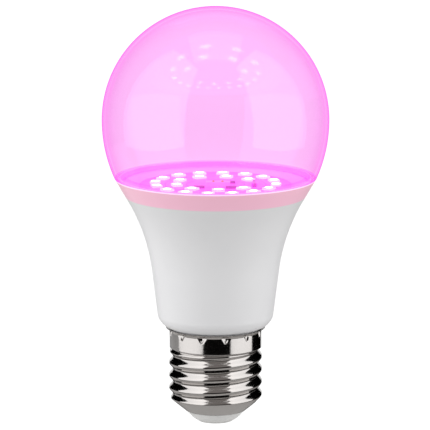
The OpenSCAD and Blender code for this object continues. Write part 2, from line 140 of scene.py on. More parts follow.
def softened(corners, reach, steps=5):
    """Rounds each corner of an open outline: between the points that lie reach before and after it, the
    outline follows (1-t)^2 A + 2t(1-t) corner + t^2 B, a parabola that leaves both sides smoothly."""
    corners = np.asarray(corners, float)
    before, after = corners[:-2] - corners[1:-1], corners[2:] - corners[1:-1]
    lengths = [np.linalg.norm(side, axis=1, keepdims=True) for side in (before, after)]
    reach = np.broadcast_to(np.asarray(reach, float), len(before))[:, None]
    a = corners[1:-1] + before / lengths[0] * np.minimum(reach, lengths[0] * 0.49)
    b = corners[1:-1] + after / lengths[1] * np.minimum(reach, lengths[1] * 0.49)
    t = np.linspace(0, 1, steps)[None, :, None]
    bends = (1 - t) ** 2 * a[:, None] + 2 * t * (1 - t) * corners[1:-1, None] + t ** 2 * b[:, None]
    return np.concatenate([corners[:1], bends.reshape(-1, 2), corners[-1:]])


def softened_loop(corners, reach, steps=5):
    """The same for a closed outline: it starts and ends halfway along its last side."""
    corners = np.asarray(corners, float)
    middle = (corners[-1] + corners[0]) / 2
    return softened(np.concatenate([[middle], corners, [middle]]), reach, steps)[:-1]


# %% [markdown]
# ## Shader maths
# A finish is mostly arithmetic on patterns: a scratch pattern times a depth plus a base roughness. A small
# class wraps a node's socket so that such sums can be written as sums, and it adds the Math nodes itself.
# A Finish makes any other node from its type, its settings and what goes into its sockets.

# %% Wrapped sockets and finishes
class Value:
    def __init__(self, finish, socket):
        self.finish, self.socket = finish, socket

    def math(self, operation, a, b=0.0):
        node = self.finish.node("ShaderNodeMath", {"operation": operation}, {0: a, 1: b})
        return Value(self.finish, node.outputs[0])

    def __add__(self, other): return self.math("ADD", self, other)
    def __radd__(self, other): return self.math("ADD", other, self)
    def __sub__(self, other): return self.math("SUBTRACT", self, other)
    def __rsub__(self, other): return self.math("SUBTRACT", other, self)
    def __mul__(self, other): return self.math("MULTIPLY", self, other)
    def __rmul__(self, other): return self.math("MULTIPLY", other, self)
    def __pow__(self, other): return self.math("POWER", self, other)
    def size(self): return self.math("ABSOLUTE", self)

    def step(self, low, high):
        """0 below low, 1 above high, and a smooth rise between them."""
        node = self.finish.node("ShaderNodeMapRange", {"interpolation_type": "SMOOTHSTEP"},
            {"Value": self, "From Min": low, "From Max": high})
        return Value(self.finish, node.outputs[0])


class Nodes:
    def __init__(self, tree):
        self.tree = tree
        tree.nodes.clear()

    def link(self, source, socket):
        self.tree.links.new(source.socket if isinstance(source, Value) else source, socket)

    def node(self, kind, settings=None, inputs=None):
        """Adds a node, applies its settings, then sets or links its sockets."""
        node = self.tree.nodes.new(kind)
        for key, setting in (settings or {}).items():
            setattr(node, key, setting)
        for key, value in (inputs or {}).items():
            socket = node.inputs[key]
            if isinstance(value, (Value, bpy.types.NodeSocket)):
                self.link(value, socket)
            elif hasattr(socket.default_value, "__len__") and len(socket.default_value) == 4:
                socket.default_value = (*value, 1) if len(value) == 3 else value
            else:
                socket.default_value = value
        return node

    def mix(self, factor, a, b):
        node = self.node("ShaderNodeMix", {"data_type": "RGBA"}, {0: factor, 6: a, 7: b})
        return node.outputs[2]


class Finish(Nodes):
    """A material: one main shader, and helpers for what feeds it."""
    def __init__(self, name, **principled):
        self.material = bpy.data.materials.new(name)
        self.material.use_nodes = True
        super().__init__(self.material.node_tree)
        self.output = self.node("ShaderNodeOutputMaterial")
        self.shader = self.node("ShaderNodeBsdfPrincipled")
        self.feed(**principled)
        self.link(self.shader.outputs[0], self.output.inputs["Surface"])

    def feed(self, **inputs):
        """Links or sets sockets of the main shader. An underscore in a name stands for a space."""
        for key, value in inputs.items():
            socket = self.shader.inputs[key.replace("_", " ")]
            if isinstance(value, (Value, bpy.types.NodeSocket)):
                self.link(value, socket)
            else:
                socket.default_value = (*value, 1) if hasattr(value, "__len__") else value

    def place(self, stretch=(1, 1, 1)):
        """Object coordinates in millimetres, stretched along the axes."""
        position = self.node("ShaderNodeTexCoord").outputs["Object"]
        scale = [1000 * s for s in stretch]
        return self.node("ShaderNodeMapping", {}, {"Vector": position, "Scale": scale}).outputs[0]

    def axis(self, letter):
        split = self.node("ShaderNodeSeparateXYZ", {}, {0: self.place()})
        return Value(self, split.outputs[letter])

    def radius(self):
        """Distance from the bulb's axis."""
        flat = self.node("ShaderNodeVectorMath", {"operation": "LENGTH"}, {0: self.place((1, 1, 0))})
        return Value(self, flat.outputs["Value"])

    def noise(self, size, detail=3, stretch=(1, 1, 1)):
        """Cloudy noise from 0 to 1 whose blobs are about size millimetres wide."""
        node = self.node("ShaderNodeTexNoise", {}, {"Vector": self.place(stretch), "Scale": 1 / size,
            "Detail": detail})
        return Value(self, node.outputs[0])

    def cells(self, size):
        """Distance to the nearest of many scattered points, size millimetres apart."""
        node = self.node("ShaderNodeTexVoronoi", {}, {"Vector": self.place(), "Scale": 1 / size})
        return Value(self, node.outputs["Distance"])

    def bump(self, height, depth):
        """Relief from a height pattern, depth millimetres from its lowest to its highest."""
        node = self.node("ShaderNodeBump", {}, {"Height": height, "Distance": depth * MM, "Strength": 1.0})
        self.feed(Normal=node.outputs[0])


def painted(node_name, finish):
    """Gives a CAD piece a finish in place of the plain one it came with."""
    for name in node_name.split():
        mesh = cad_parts[name].data
        mesh.materials.clear()
        mesh.materials.append(finish.material)


# %% [markdown]
# ## Outline of the body
# The housing flares from a nearly straight neck into a wide rim along one long curve, and every wall inside
# it follows the same curve at its own depth. So the outline is worked out once, as a radius at each height.
# The globe sits on the rim: half a ball above its widest line, and below it a slightly flatter arc.

# %% Outline of globe and housing, in millimetres
RIM_Z, GLOBE_Z, GLOBE_R, GLOBE_LOWER_R, GLOBE_WALL = 70.0, 86.3, 31.9, 40.2, 1.1
BODY_Z, BODY_R, FLARE_R = 31.0, 16.4, 53.4
SLOPE_LOW, SLOPE_HIGH = math.radians(7.1), math.radians(30.2)
RIM_R = GLOBE_R - GLOBE_LOWER_R + math.sqrt(GLOBE_LOWER_R ** 2 - (GLOBE_Z - RIM_Z) ** 2)
CORNER_Z = (RIM_R - BODY_R - math.tan(SLOPE_HIGH) * RIM_Z + math.tan(SLOPE_LOW) * BODY_Z) / (
    math.tan(SLOPE_LOW) - math.tan(SLOPE_HIGH))
CORNER_R = BODY_R + math.tan(SLOPE_LOW) * (CORNER_Z - BODY_Z)
TANGENT = FLARE_R * math.tan((SLOPE_HIGH - SLOPE_LOW) / 2)
ARC_R = CORNER_R - TANGENT * math.sin(SLOPE_LOW) + FLARE_R * math.cos(SLOPE_LOW)
ARC_Z = CORNER_Z - TANGENT * math.cos(SLOPE_LOW) - FLARE_R * math.sin(SLOPE_LOW)


def wall_radius(z, depth=0.0):
    """Radius at height z of a wall lying depth inside the housing: a straight slope below, a steeper one
    above, and between them an arc that is hollow towards the outside."""
    z = np.asarray(z, float)
    r, rise = FLARE_R + depth, z - ARC_Z
    low = CORNER_R + math.tan(SLOPE_LOW) * (z - CORNER_Z) - depth / math.cos(SLOPE_LOW)
    high = CORNER_R + math.tan(SLOPE_HIGH) * (z - CORNER_Z) - depth / math.cos(SLOPE_HIGH)
    arc = ARC_R - np.sqrt(np.maximum(r * r - rise * rise, 0))
    return np.where(rise < r * math.sin(SLOPE_LOW), low, np.where(rise > r * math.sin(SLOPE_HIGH), high, arc))


def wall_profile(depth, low, high, steps):
    z = np.linspace(low, high, steps)
    return np.stack([wall_radius(z, depth), z], axis=1)


print(f"rim radius {RIM_R:.2f} mm, flare from {ARC_Z + FLARE_R * math.sin(SLOPE_LOW):.1f} mm up")

# %% [markdown]
# ## The globe's plastic
# The cover is blown from clear plastic with a pink tint, and the lamps inside make it glow. Refracting glass
# would need many light paths to stay clean, and so thin a wall hardly bends light. A tinted transparent
# shader is simpler: a slanting path through the wall is longer, so the outer surface's tint deepens towards
# the edge, while the inner surface keeps one light tint. A weak gloss, a little stronger at the edge, lays
# the soft lamps of the studio and the LEDs' own mirror images over it.

# %% Globe finish
def globe_finish():
    finish = Finish("globe_plastic", Roughness=0.03)
    angle = Value(finish, finish.node("ShaderNodeLayerWeight", {}, {"Blend": 0.5}).outputs["Facing"])
    inside = Value(finish, finish.node("ShaderNodeAttribute", {"attribute_name": "inside"}).outputs["Fac"])
    inner, clear, slanted = (finish.node("ShaderNodeBsdfTransparent", {}, {"Color": tint}).outputs[0]
        for tint in ((1.0, 0.90, 0.995), (1.0, 0.80, 0.985), (1.0, 0.25, 0.86)))
    outer = finish.node("ShaderNodeMixShader", {}, {0: angle ** 4, 1: clear, 2: slanted})
    wall = finish.node("ShaderNodeMixShader", {}, {0: inside, 1: outer.outputs[0], 2: inner})
    gloss = finish.node("ShaderNodeBsdfGlossy", {}, {"Color": (1.0, 0.9, 1.0), "Roughness": 0.06})
    shine = 0.03 + 0.05 * angle ** 5
    both = finish.node("ShaderNodeMixShader", {}, {0: shine, 1: wall.outputs[0], 2: gloss.outputs[0]})
    finish.link(both.outputs[0], finish.output.inputs["Surface"])
    return finish


globe_plastic = globe_finish()

# %% [markdown]
# ## The globe
# Two surfaces make the wall: the outside and the same shape 1.1 mm further in, joined under the rim by the
# skirt that goes down into the housing. The outline runs from the top pole down outside, round the skirt and
# back up inside to the pole of the inner surface.

# %% Globe
def globe_arc(inset, top, low, steps):
    """Half a ball down to its widest line, then the flatter arc down to a height, both lying inset inside."""
    t = np.linspace(np.pi / 2 if top else 0, 0, steps)
    ball = np.stack([(GLOBE_R - inset) * np.cos(t), GLOBE_Z + (GLOBE_R - inset) * np.sin(t)], axis=1)
    z = np.linspace(GLOBE_Z, low, steps // 3)[1:]
    lower = np.stack([GLOBE_R - GLOBE_LOWER_R
        + np.sqrt((GLOBE_LOWER_R - inset) ** 2 - (GLOBE_Z - z) ** 2), z], axis=1)
    return np.concatenate([ball, lower])


SEAT_R = float(wall_radius(RIM_Z, 1.5)) - 0.15
skirt = softened([[RIM_R - 0.1, RIM_Z], [SEAT_R, RIM_Z], [SEAT_R, RIM_Z - 1.3], [SEAT_R - 1, RIM_Z - 1.3],
    [SEAT_R - 1, RIM_Z + 0.9], [SEAT_R + 0.3, RIM_Z + 0.9]], 0.25, 4)
globe_profile = np.concatenate([globe_arc(0, True, RIM_Z + 0.02, 90), skirt,
    globe_arc(GLOBE_WALL, True, RIM_Z + 0.9, 90)[::-1]])
globe_profile[[0, -1], 0] = 0
points, faces = turned(globe_profile[::-1], 192)
globe = add_piece("clear_globe", points, faces, globe_plastic.material, ["globe"])
# Depth below the outside, from the ball's centre above the widest line and from the flatter arc's below it.
# What lies deeper than half the wall is the inner surface.
x, z = np.hypot(points[:, 0], points[:, 1]), points[:, 2] - GLOBE_Z
lower_depth = GLOBE_LOWER_R - np.hypot(x + GLOBE_LOWER_R - GLOBE_R, z)
from_outside = np.where(z > 0, GLOBE_R - np.hypot(x, z), lower_depth)
mark_points(globe, "inside", from_outside > GLOBE_WALL / 2)

# %% [markdown]
# ## White moulded plastic
# The housing is satin white plastic with the faint orange-peel of a moulded surface. Its rim stands above the
# aluminium cup inside, so there the LEDs shine into the wall and the plastic lights up as a pink band. That
# band
# is painted glow: a pink tint and emission that follow the height on the piece, with a thin painted highlight
# along the rim's outer lip. An attribute tells inside from outside.

# %% Housing finish
BAND_Z = 64.9
finish = Finish("housing_plastic", IOR=1.5, Sheen_Weight=0.35, Sheen_Roughness=0.3)
peel = finish.noise(1.4, 2)
mottle = finish.noise(9, 3)
height = finish.axis("Z")
inside = Value(finish, finish.node("ShaderNodeAttribute", {"attribute_name": "inside"}).outputs["Fac"])
# Painted glow: above BAND_Z the plastic takes a pink tint and an emission that stand for the LEDs' light in
# the rim.
band = height.step(BAND_Z - 0.25, BAND_Z + 0.25)
# Painted highlight: a thin pale emission along the outer lip of the rim.
painted_lip_highlight = height.step(RIM_Z - 0.6, RIM_Z - 0.2) * (1 - inside)
white = finish.mix(mottle, (0.83, 0.83, 0.845), (0.87, 0.87, 0.88))
lit_wall = finish.mix(mottle, (0.86, 0.57, 0.68), (0.90, 0.61, 0.72))
glow = finish.mix(inside, (0.17, 0.03, 0.075), (0.62, 0.16, 0.58))
glow = finish.mix(painted_lip_highlight * 0.75, glow, (0.75, 0.42, 0.70))
finish.feed(Base_Color=finish.mix(band, white, lit_wall), Roughness=0.34 + 0.12 * peel,
    Emission_Color=finish.mix(band, (0, 0, 0), glow), Emission_Strength=1.0)
finish.bump(peel + mottle * 0.4, 0.006)
housing_plastic = finish

# %% [markdown]
# ## The housing
# One closed outline gives the whole moulding: up the outside along the flare, over the rim, down the ledge
# the globe sits in, down the inner wall, and through the neck that carries the screw cap. Small roundings at
# the foot and rim catch the light the way moulded edges do. Four short ribs in the neck hold the board.

# %% Housing
# The foot is a quarter of a slightly full-cornered ellipse: the powers pull it out towards its corner
LIP_R, LIP_Z, FULLNESS = 13.4, 27.5, 1.25
t = np.linspace(0, np.pi / 2, 14)
foot = np.stack([LIP_R + (BODY_R - LIP_R) * np.sin(t) ** FULLNESS,
    BODY_Z - (BODY_Z - LIP_Z) * np.cos(t) ** FULLNESS], axis=1)
rim = softened([[float(wall_radius(69.5)), 69.5], [RIM_R - 0.05, RIM_Z], [SEAT_R + 0.1, RIM_Z],
    [SEAT_R + 0.1, RIM_Z - 1.5], [float(wall_radius(68.5, 1.5)), 68.5]], [0.35, 0.15, 0.05])
neck = softened([[float(wall_radius(31.2, 1.5)), 31.2], [float(wall_radius(30.5, 1.5)), 30.5], [9.8, 30.5],
    [9.8, 9.5], [11.4, 9.5], [11.4, 21.9], [12.6, 21.9], [12.6, 24.6], [11.8, 25.4], [11.8, 26.5],
    [12.6, 26.8], [12.6, LIP_Z], [13.2, LIP_Z]], 0.2, 3)
outer_wall = wall_profile(0, 31.3, 69.4, 90)
inner_wall = wall_profile(1.5, 31.3, 68.4, 60)[::-1]
housing_profile = np.concatenate([foot, outer_wall, rim, inner_wall, neck])
points, faces = turned(housing_profile, 192)
is_inside = np.repeat((np.arange(len(housing_profile)) >= len(foot) + len(outer_wall) + len(rim) - 8), 192)


def box_mesh(low, high):
    """The eight corners and six outward faces of a block."""
    low, high = np.array(low, float), np.array(high, float)
    corners = np.array([[x, y, z] for z in (0, 1) for y in (0, 1) for x in (0, 1)])
    faces = [[0, 2, 3, 1], [4, 5, 7, 6], [0, 1, 5, 4], [2, 6, 7, 3], [0, 4, 6, 2], [1, 3, 7, 5]]
    return low + corners * (high - low), faces


def joined(shells):
    """Several closed shells as one list of points and one of faces."""
    starts = np.cumsum([0] + [len(points) for points, _ in shells[:-1]])
    faces = [[int(v) + int(start) for v in face] for start, (_, fs) in zip(starts, shells) for face in fs]
    return np.concatenate([points for points, _ in shells]), faces


ribs = [box_mesh((min(x, x + side * 1.9), y, 12), (max(x, x + side * 1.9), y + 1, 28))
    for side, x in ((-1, -8.05), (1, 8.05)) for y in (-2.9, -0.1)]
points, faces = joined([(points, faces), *ribs])
housing = add_piece("housing", points, faces, housing_plastic.material, ["housing_shell"], sharp=40)
mark_points(housing, "inside", np.concatenate([is_inside, np.zeros(len(points) - len(is_inside))]))

# %% [markdown]
# ## Bright nickel plate
# The screw shell is rolled from thin sheet and nickel plated. It is nearly a mirror, a little warm and darker
# than chrome, with fine marks round the axis from rolling. Those marks are a noise squeezed along the height
# so that it turns into rings, and it varies the roughness only slightly.

# %% Nickel finish
finish = Finish("nickel_plate", Metallic=1.0)
rings = finish.noise(0.35, 2, stretch=(0.06, 0.06, 1))
cloud = finish.noise(4, 3)
finish.feed(Base_Color=finish.mix(cloud, (0.47, 0.45, 0.437), (0.52, 0.50, 0.487)),
    Roughness=0.07 + 0.05 * rings + 0.03 * cloud)
finish.bump(rings, 0.0012)
nickel_plate = finish

# %% [markdown]
# ## The screw shell
# The thread is an E27 thread: a smooth wave between 12.1 and 13.2 mm radius whose crest climbs 3.629 mm in a
# turn. The radius is therefore a function of angle and height, and the whole shell is one grid over both.
# Factors that rise or fall smoothly with height fade the thread out under the collar, flare the top edge and
# draw the foot in to a cone. Twelve V-shaped staking marks press the collar into the housing.

# %% Screw shell
CREST_R, ROOT_R, PITCH, CREST_Z, COLLAR_R = 13.2, 12.1, 3.629, 7.9, 13.05
CONE_R, CONE_Z, CONE_SLOPE = 8.7, 3.3, 1.2
STAKE_FIRST, STAKE_STEP, STAKE_DEPTH, STAKE_LOW = 13, 30, 0.6, 24.6
SHEET = 0.35


def rise(value, low, high):
    """0 below low, 1 above high, and 3t^2 - 2t^3 between."""
    t = np.clip((value - low) / (high - low), 0, 1)
    return t * t * (3 - 2 * t)


def shell_radius(angle, z):
    """Outer radius of the shell at an angle in radians and a height in millimetres. The last line is the
    lesser of the threaded radius and the cone, with the corner between them rounded over blend."""
    wave = 0.5 + 0.5 * np.cos(2 * np.pi * (z - CREST_Z) / PITCH - angle)
    radius = ROOT_R + (CREST_R - ROOT_R) * wave ** 0.85 * rise(21.5 - z, 0, 1.6)
    radius = radius + (COLLAR_R - ROOT_R) * rise(z, 21.0, 21.6)
    radius = radius + 0.15 * rise(z, 26.2, 26.6) + 0.85 * rise(z, 26.6, 27.15)
    half_step = STAKE_STEP / 2
    from_mark = np.mod(np.degrees(angle) + half_step - STAKE_FIRST, STAKE_STEP) - half_step
    across = np.radians(from_mark) * COLLAR_R
    width = 0.8 * (z - STAKE_LOW)
    mark = np.clip(1 - np.abs(across) / np.maximum(width, 1e-3), 0, 1) * rise(26.8 - z, 0, 0.25)
    radius = radius - STAKE_DEPTH * mark * (z > STAKE_LOW)
    cone = CONE_R + CONE_SLOPE * (z - CONE_Z)
    blend = 0.28
    return -blend * np.log(np.exp(-radius / blend) + np.exp(-cone / blend))


columns = 288
angle = np.linspace(0, 2 * np.pi, columns, endpoint=False)[None, :]
z = np.concatenate([np.linspace(CONE_Z, 7, 20), np.linspace(7, 21, 130)[1:], np.linspace(21, 27.2, 56)[1:]])
z = z[:, None]
outer = shell_radius(angle, z)
radius = np.concatenate([outer, outer[::-1][::2] - SHEET])
heights = np.concatenate([z, z[::-1][::2]]) + 0 * angle
shell_points = np.stack([radius * np.cos(angle), radius * np.sin(angle), heights], axis=-1)
screw_shell = add_piece("screw_cap_shell", *closed_grid(shell_points, wrap_rows=True),
    nickel_plate.material, ["screw_shell"], sharp=50)

# %% [markdown]
# ## Insulator and centre contact
# The foot of the cap is a pale moulded cone that keeps the shell apart from the centre contact, a tinned disc
# with a stud. Both are turned. The insulator is matte with a slight speckle of filler, and the contact shows
# the soft dents and streaks of tin.

# %% Insulator and contact
finish = Finish("insulator_plastic", Roughness=0.5)
speck = finish.noise(0.5, 4)
finish.feed(Base_Color=finish.mix(speck, (0.80, 0.80, 0.79), (0.86, 0.86, 0.85)),
    Roughness=0.45 + 0.2 * speck)
finish.bump(speck, 0.01)
insulator_plastic = finish
insulator_profile = softened_loop([[1.25, 5.3], [1.25, 0.5], [5.6, 0.5], [6.6, 1.2], [7.8, 2.5], [8.6, 3.2],
    [8.25, 3.2], [8.25, 3.7], [9.0, 4.4], [9.0, 5.3]], 0.25, 4)
insulator = add_piece("cap_foot_insulator", *turned(insulator_profile, 144), insulator_plastic.material,
    ["cap_insulator"])

finish = Finish("tinned_contact", Metallic=1.0)
tin = finish.noise(1.6, 4)
finish.feed(Base_Color=finish.mix(tin, (0.80, 0.80, 0.79), (0.86, 0.86, 0.85)), Roughness=0.55 + 0.2 * tin)
finish.bump(tin, 0.03)
contact_profile = np.concatenate([[[0, 0]], softened([[0, 0], [4.85, 0], [5.2, 0.3], [5.2, 0.5], [1.2, 0.5],
    [1.2, 7], [0, 7]], 0.2, 4)[1:]])
contact = add_piece("contact_disc", *turned(contact_profile, 96), finish.material, ["centre_contact"])

# %% [markdown]
# ## The LEDs
# Each LED is a white moulded package with a round cup, a dome of clear resin over the chips in the cup, and
# tinned feet. They all have one shape, so that shape is worked out once as a small grid and then turned and
# moved to every place on the two rings. The packages are lit through, so they glow as well as the resin.

# %% LED finishes
finish = Finish("led_package")
grain = finish.noise(0.6, 3)
finish.feed(Base_Color=finish.mix(grain, (0.86, 0.82, 0.84), (0.92, 0.88, 0.90)), Roughness=0.4 + 0.2 * grain,
    Emission_Color=finish.mix(grain, (1.0, 0.45, 0.95), (1.0, 0.60, 0.98)), Emission_Strength=0.95)
led_package = finish

finish = Finish("led_resin")
chips = finish.cells(1.1)
finish.feed(Base_Color=finish.mix(chips, (1.0, 0.85, 1.0), (1.0, 0.7, 0.95)), Roughness=0.15 + 0.1 * chips,
    Emission_Color=finish.mix(chips, (1.0, 0.80, 1.0), (1.0, 0.55, 0.95)), Emission_Strength=9.0)
led_resin = finish

# %% LED bodies and resin
def squarish(half_x, half_y, power, sides):
    """A rounded rectangle: |x / half_x|^power + |y / half_y|^power = 1, run round once."""
    a = np.linspace(0, 2 * np.pi, sides, endpoint=False)
    x, y = np.cos(a), np.sin(a)
    return np.stack([half_x * np.sign(x) * np.abs(x) ** (2 / power),
        half_y * np.sign(y) * np.abs(y) ** (2 / power)], axis=1)


def stacked(outlines, heights):
    """A shell from outlines of one length, each at its own height, with a point at either end."""
    rows = [np.column_stack([outline, np.full(len(outline), height)])
        for outline, height in zip(outlines, heights)]
    return closed_grid(np.stack(rows), wrap_rows=False)


def round_ring(points, faces, angles, ring, base):
    """Copies of a shell, each moved out to the ring's radius and turned to its angle in degrees."""
    a = np.radians(np.asarray(angles, float))[:, None]
    x, y = ring + points[None, :, 0], points[None, :, 1] + 0 * a
    placed = np.stack([x * np.cos(a) - y * np.sin(a), x * np.sin(a) + y * np.cos(a),
        base + points[None, :, 2] + 0 * a], axis=-1).reshape(-1, 3)
    faces = [[v + k * len(points) for v in face] for k in range(len(angles)) for face in faces]
    return placed, faces


BOARD_Z = 67.9
outer_angles = 83 + 22.5 * np.arange(16)
inner_angles = np.array([154, 114, 74, 34, -46, -86, -126, -166])
sides = 40
case, cup, none = squarish(1.4, 1.75, 9, sides), squarish(1.15, 1.15, 2, sides), np.zeros((sides, 2))
package = stacked([none, case * 0.97, case, case, case * 0.97, cup * 1.02, cup * 0.98, cup * 0.87, none],
    [0.0, 0.0, 0.05, 0.52, 0.62, 0.62, 0.58, 0.27, 0.27])
resin = stacked([none, cup * 0.86, cup * 0.96, cup * 0.9, cup * 0.6, cup * 0.3, none],
    [0.28, 0.28, 0.58, 0.61, 0.64, 0.655, 0.66])
for ring_name, ring_angles, ring_r in (("outer", outer_angles, 17.1), ("inner", inner_angles, 11.2)):
    bodies = add_piece(f"{ring_name}_led_packages",
        *round_ring(*package, ring_angles, ring_r, BOARD_Z + 0.08),
        led_package.material, [f"{ring_name}_leds"])
    domes = add_piece(f"{ring_name}_led_resin", *round_ring(*resin, ring_angles, ring_r, BOARD_Z + 0.08),
        led_resin.material, [f"{ring_name}_led_windows"])

# %% [markdown]
# ## The lit board and what stands on it
# The board is aluminium under a white solder mask. The copper under the mask shows as faint steps: rings that
# join the LEDs, cut by narrow gaps. The LEDs flood it with magenta light, which is painted in: a magenta tint
# in its colour and a little emission, stronger near the rings. The step that carries the board is pressed
# aluminium with the same light painted into its colour and emission.

# %% Board and carrier finishes
finish = Finish("white_solder_mask")
radius = finish.radius()
mottle = finish.noise(3, 3)
gaps = 1 - (radius - 14.2).size().step(0.1, 0.2) * (radius - 8.2).size().step(0.1, 0.2)
near_leds = 1 - (radius - 17.1).size().step(1, 7) * (radius - 11.2).size().step(1, 5)
# Painted light: the white mask and the copper steps under it are tinted magenta for the LEDs' light on them.
magenta_lit_mask_colour = finish.mix(mottle, (0.86, 0.36, 0.84), (0.93, 0.42, 0.91))
finish.feed(Base_Color=finish.mix(gaps, magenta_lit_mask_colour, (0.60, 0.20, 0.58)),
    Roughness=0.3 + 0.15 * mottle,
    Emission_Color=finish.mix(near_leds, (0.46, 0.004, 0.40), (0.66, 0.02, 0.62)), Emission_Strength=1.0)
finish.bump(1 - gaps, 0.04)
white_solder_mask = finish

finish = Finish("lit_aluminium", Metallic=0.7)
drawn = finish.noise(0.3, 2, stretch=(1, 1, 0.08))
dull = finish.noise(2.5, 3)
# Painted light: the magenta in the colour and the emission stand for the LEDs' light on the aluminium.
finish.feed(Base_Color=finish.mix(dull, (0.80, 0.50, 0.80), (0.88, 0.58, 0.88)), Roughness=0.35 + 0.2 * drawn,
    Emission_Color=finish.mix(dull, (0.42, 0.02, 0.38), (0.52, 0.03, 0.48)), Emission_Strength=1.0)
finish.bump(drawn, 0.01)
lit_aluminium = finish
painted("led_board", white_solder_mask)
painted("led_carrier", lit_aluminium)

# %% [markdown]
# ## Finishes for the pieces inside
# Everything inside the housing is an ordinary electronic part, and four kinds of finish cover most of them:
# moulded plastic with a fine grain, metal with marks along one direction, circuit board with tracks under its
# mask, and windings with one ridge for each turn of wire. Each is a function of colour and scale.

# %% Four kinds of finish
def moulded(name, dark, pale, rough=0.45, grain=0.8, relief=0.01, glow=None):
    """Plastic, rubber, resin or ceramic: two tones mixed by a fine noise that also roughens and dents it."""
    finish = Finish(name)
    pattern = finish.noise(grain, 4)
    finish.feed(Base_Color=finish.mix(pattern, dark, pale), Roughness=rough - 0.08 + 0.16 * pattern)
    finish.bump(pattern, relief)
    # A glow is painted light: an emission that stands for the LEDs' magenta light falling on the part.
    if glow:
        finish.feed(Emission_Color=glow, Emission_Strength=1.0)
    return finish


def metal(name, dark, pale, rough=0.25, grain=0.4, stretch=(1, 1, 0.1), relief=0.004, glow=None):
    """Metal: the noise is stretched along one axis into fine lines."""
    finish = Finish(name, Metallic=1.0)
    lines = finish.noise(grain, 3, stretch)
    cloud = finish.noise(grain * 8, 2)
    finish.feed(Base_Color=finish.mix(cloud, dark, pale), Roughness=rough + 0.15 * lines)
    finish.bump(lines, relief)
    # A glow is painted light: an emission that stands for the LEDs' magenta light falling on the part.
    if glow:
        finish.feed(Emission_Color=glow, Emission_Strength=1.0)
    return finish


def circuit_board(name, mask, track, glow=(0, 0, 0)):
    """Board: tracks show through the mask where the edges between scattered cells lie."""
    finish = Finish(name, IOR=1.5)
    cells = finish.node("ShaderNodeTexVoronoi", {"feature": "DISTANCE_TO_EDGE"},
        {"Vector": finish.place(), "Scale": 0.35}).outputs["Distance"]
    tracks = 1 - Value(finish, cells).step(0.06, 0.10)
    weave = finish.noise(0.3, 2)
    finish.feed(Base_Color=finish.mix(tracks, mask, track), Roughness=0.3 + 0.2 * weave,
        Emission_Color=glow, Emission_Strength=1.0)
    finish.bump(tracks + weave * 0.3, 0.03)
    return finish


def winding(name, axis, pitch, dark, pale):
    """Wire laid turn by turn: a sine along the coil's axis, with a painted highlight on the ridges and
    painted shade between them.
    """
    finish = Finish(name, Metallic=0.6)
    along = finish.axis(axis) * (2 * math.pi / pitch)
    ridges = along.math("SINE", along) * 0.5 + 0.5
    # Painted highlight on the ridges and painted shade in the grooves between turns.
    finish.feed(Base_Color=finish.mix(ridges, dark, pale), Roughness=0.45 - 0.2 * ridges)
    finish.bump(ridges, 0.06)
    return finish


def shrunk_film(name, film, stripe, edge_x):
    """Capacitor sleeve: glossy film with the pale stripe that marks one lead, on the side past edge_x."""
    finish = Finish(name, Coat_Weight=0.4)
    wrinkles = finish.noise(1.2, 3, stretch=(1, 1, 0.3))
    marked = finish.axis("X").step(edge_x - 0.05, edge_x + 0.05)
    finish.feed(Base_Color=finish.mix(marked, film, stripe), Roughness=0.25 + 0.15 * wrinkles)
    finish.bump(wrinkles, 0.02)
    return finish


# %% Dress the pieces inside
# Painted light: DIM_GLOW and LIT are emissions for the LEDs' magenta light on parts near the board, and the
# magenta in the lit tin, connector, resistors and radio board colours is that light painted in too.
DIM_GLOW, LIT = (0.20, 0.01, 0.18), (0.45, 0.05, 0.42)
black_epoxy = moulded("black_epoxy", (0.012, 0.012, 0.014), (0.035, 0.035, 0.04), 0.55, 0.25)
tinned = metal("tinned_metal", (0.60, 0.60, 0.60), (0.75, 0.75, 0.74), 0.3, 0.3, (1, 1, 1))
gold = metal("gold_plate", (0.72, 0.50, 0.18), (0.85, 0.62, 0.28), 0.2, 0.2)
solder = metal("solder", (0.55, 0.56, 0.57), (0.72, 0.73, 0.74), 0.28, 0.5, (1, 1, 1), 0.02)
ferrite = moulded("ferrite", (0.02, 0.02, 0.022), (0.07, 0.07, 0.075), 0.6, 0.15, 0.02)
pressed = metal("pressed_aluminium", (0.68, 0.68, 0.69), (0.82, 0.82, 0.83), 0.3, 0.4)
painted("heat_sink_cup bulk_capacitor_can output_capacitor_can", pressed)
painted("globe_adhesive", moulded("silicone", (0.72, 0.70, 0.71), (0.82, 0.80, 0.81), 0.4, 1.5, 0.05, LIT))
painted("driver_sleeve", moulded("sleeve_plastic", (0.72, 0.70, 0.62), (0.80, 0.78, 0.70), 0.4, 2, 0.02))
painted("thermal_paste", moulded("thermal_paste", (0.48, 0.49, 0.50), (0.62, 0.63, 0.64), 0.6, 1.2, 0.05))
painted("led_leads", metal("lit_tin", (0.70, 0.60, 0.70), (0.82, 0.72, 0.82), 0.3, 0.3, (1, 1, 1), 0.01,
    DIM_GLOW))
painted("board_connector", moulded("connector_plastic", (0.74, 0.46, 0.66), (0.82, 0.54, 0.74), 0.4, 0.5,
    0.01, (0.55, 0.10, 0.46)))
painted("connector_pins radio_pins", gold)
painted("board_resistors", moulded("lit_resistors", (0.20, 0.07, 0.16), (0.32, 0.12, 0.26), 0.5, 0.4, 0.01,
    LIT))
painted("live_wire", moulded("red_insulation", (0.42, 0.02, 0.015), (0.52, 0.035, 0.03), 0.35, 1, 0.01))
painted("neutral_wire", moulded("black_insulation", (0.01, 0.01, 0.01), (0.025, 0.025, 0.025), 0.35, 1, 0.01))
painted("neutral_solder solder_joints", solder)
painted("driver_board", circuit_board("green_board", (0.02, 0.13, 0.04), (0.05, 0.24, 0.09)))
